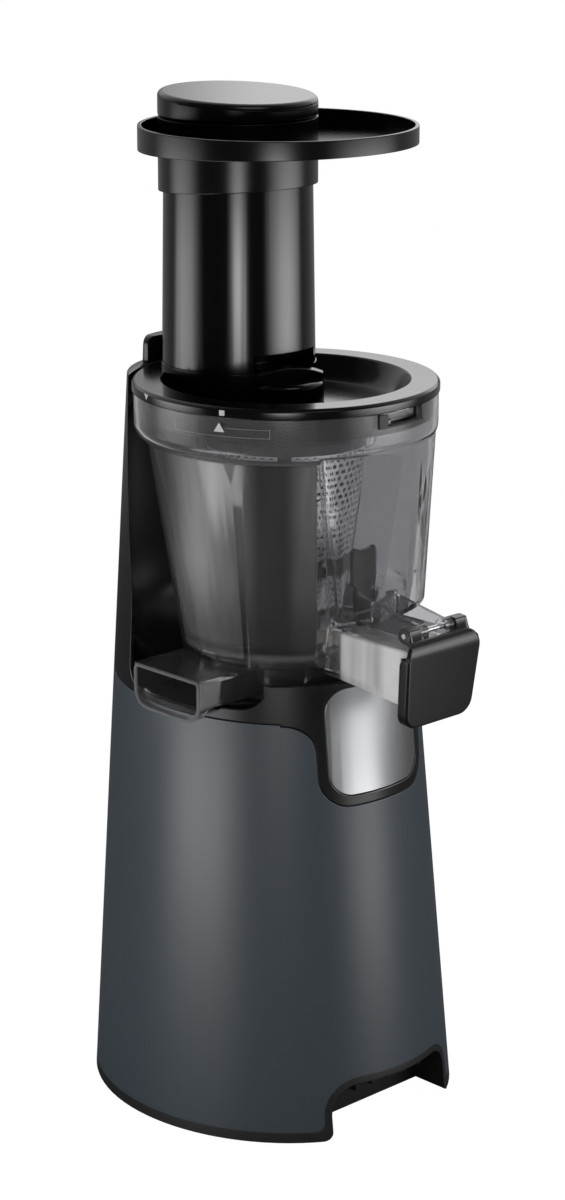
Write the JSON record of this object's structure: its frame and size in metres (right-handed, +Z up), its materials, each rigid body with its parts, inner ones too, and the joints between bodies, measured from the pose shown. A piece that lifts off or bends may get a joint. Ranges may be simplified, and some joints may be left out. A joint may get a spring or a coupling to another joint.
{
  "type": "cold press juicer",
  "caption": "Upright slow juicer with a tapered motor base, a smoky lift-off bowl with juice and pulp spouts, an auger in a strainer, and a lid with feed tube, tray and pusher.",
  "frame": {"origin": "on the floor under the common axis of bowl, auger and drive shaft, which is also the middle of the outer box", "axes": "+Z up along the bowl axis, -Y to the front with the juice spout and the steel plate, +X to the right seen from the front, the pulp spout towards -X"},
  "size_m": [0.1936, 0.2416, 0.5581],
  "materials": {
    "slate_shell": "satin slate moulding",
    "black_gloss": "polished black moulding",
    "black_satin": "fine matt black moulding",
    "plate_steel": "fine brushed",
    "screen_steel": "etched sheet",
    "smoky_clear": "clear smoky moulding",
    "soft_silicone": "soft matt",
    "shaft_steel": "ground",
    "bearing_steel": "polished",
    "lamination_steel": "stacked laminations",
    "copper_wire": "enamelled wire",
    "cast_metal": "die cast",
    "grey_nylon": "glass filled moulding",
    "white_nylon": "moulded gear nylon",
    "board_green": "soldered board",
    "can_white": "moulded can",
    "part_black": "small moulded case"
  },
  "bodies": {
    "base": {"lower_housing": "slate_shell", "upper_housing": "black_gloss", "tower_cap": "black_gloss", "base_cover": "black_satin", "rubber_feet": "soft_silicone", "front_plate": "plate_steel", "switch_bezel": "black_satin", "cord_inlet": "black_satin", "control_board": "board_green", "run_capacitor": "can_white", "lid_microswitch": "part_black", "gearbox_case": "grey_nylon", "gearbox_cover": "grey_nylon", "gearbox_screws": "shaft_steel", "shaft_bearings": "bearing_steel", "shaft_seal": "soft_silicone", "countershaft": "shaft_steel", "motor_stator": "lamination_steel", "stator_windings": "copper_wire", "motor_end_bells": "cast_metal", "motor_bearings": "bearing_steel", "motor_bolts": "shaft_steel"},
    "rocker": {"rocker_switch": "black_satin"},
    "output": {"output_gear": "white_nylon", "drive_shaft": "shaft_steel"},
    "counter": {"countershaft_gears": "white_nylon"},
    "rotor": {"motor_pinion": "shaft_steel", "motor_shaft": "shaft_steel", "motor_rotor": "lamination_steel", "cooling_fan": "grey_nylon"},
    "bowl": {"juicing_bowl": "smoky_clear", "bowl_seal": "soft_silicone", "strainer_frame": "black_satin", "strainer_screen": "screen_steel"},
    "brush": {"brush_frame": "black_satin", "wiper_blades": "soft_silicone"},
    "idler_left": {"idler_pinion_left": "white_nylon"},
    "idler_right": {"idler_pinion_right": "white_nylon"},
    "auger": {"auger_core": "black_satin", "auger_flights": "black_satin"},
    "cap": {"spout_cap": "black_gloss", "cap_seal": "soft_silicone", "cap_hinge_pin": "shaft_steel"},
    "lid": {"lid": "black_gloss", "feed_tube": "black_gloss", "auger_bush": "white_nylon"},
    "knob": {"lid_knob": "black_gloss"},
    "tray": {"feed_tray": "black_gloss"},
    "pusher": {"pusher_body": "black_satin", "pusher_head": "black_gloss"}
  },
  "joints": [
    {"name": "bowl_lift", "type": "slide", "parent": "base", "child": "bowl", "axis": [0, 0, 1], "range_m": [0, 0.2]},
    {"name": "cap_hinge", "type": "hinge", "parent": "bowl", "child": "cap", "pos_m": [0, -0.11, 0.2895], "axis": [1, 0, 0], "range_deg": [-110, 0]},
    {"name": "lid_turn", "type": "hinge", "parent": "bowl", "child": "lid", "pos_m": [0, 0, 0.4], "axis": [0, 0, 1], "range_deg": [0, 18]},
    {"name": "knob_turn", "type": "hinge", "parent": "lid", "child": "knob", "pos_m": [0, 0, 0.4], "axis": [0, 0, 1], "range_deg": [0, 90]},
    {"name": "tray_lift", "type": "slide", "parent": "lid", "child": "tray", "axis": [0, 0, 1], "range_m": [0, 0.1]},
    {"name": "pusher_slide", "type": "slide", "parent": "tray", "child": "pusher", "axis": [0, 0, 1], "range_m": [0, 0.12]},
    {"name": "rocker_tip", "type": "hinge", "parent": "base", "child": "rocker", "pos_m": [0, 0.1067, 0.12], "axis": [1, 0, 0], "range_deg": [-8, 8]},
    {"name": "rotor_spin", "type": "hinge", "parent": "base", "child": "rotor", "pos_m": [0, 0.015, 0.12], "axis": [0, 0, 1], "continuous": true},
    {"name": "counter_spin", "type": "hinge", "parent": "base", "child": "counter", "pos_m": [0.01643, 0.03865, 0.2], "axis": [0, 0, 1], "continuous": true},
    {"name": "output_spin", "type": "hinge", "parent": "base", "child": "output", "pos_m": [0, 0, 0.2], "axis": [0, 0, 1], "continuous": true},
    {"name": "auger_spin", "type": "hinge", "parent": "bowl", "child": "auger", "pos_m": [0, 0, 0.3], "axis": [0, 0, 1], "continuous": true},
    {"name": "idler_left_spin", "type": "hinge", "parent": "bowl", "child": "idler_left", "pos_m": [0.01333, -0.01996, 0.265], "axis": [0, 0, 1], "continuous": true},
    {"name": "idler_right_spin", "type": "hinge", "parent": "bowl", "child": "idler_right", "pos_m": [0.01333, 0.01996, 0.265], "axis": [0, 0, 1], "continuous": true},
    {"name": "brush_spin", "type": "hinge", "parent": "bowl", "child": "brush", "pos_m": [0, 0, 0.27], "axis": [0, 0, 1], "continuous": true}
  ],
  "couplings": [
    {"joint": "counter_spin", "follows": "rotor_spin", "ratio": -0.2},
    {"joint": "output_spin", "follows": "rotor_spin", "ratio": 0.04},
    {"joint": "auger_spin", "follows": "rotor_spin", "ratio": 0.04},
    {"joint": "idler_left_spin", "follows": "rotor_spin", "ratio": -0.066667},
    {"joint": "idler_right_spin", "follows": "rotor_spin", "ratio": -0.066667},
    {"joint": "brush_spin", "follows": "rotor_spin", "ratio": -0.018182}
  ]
}
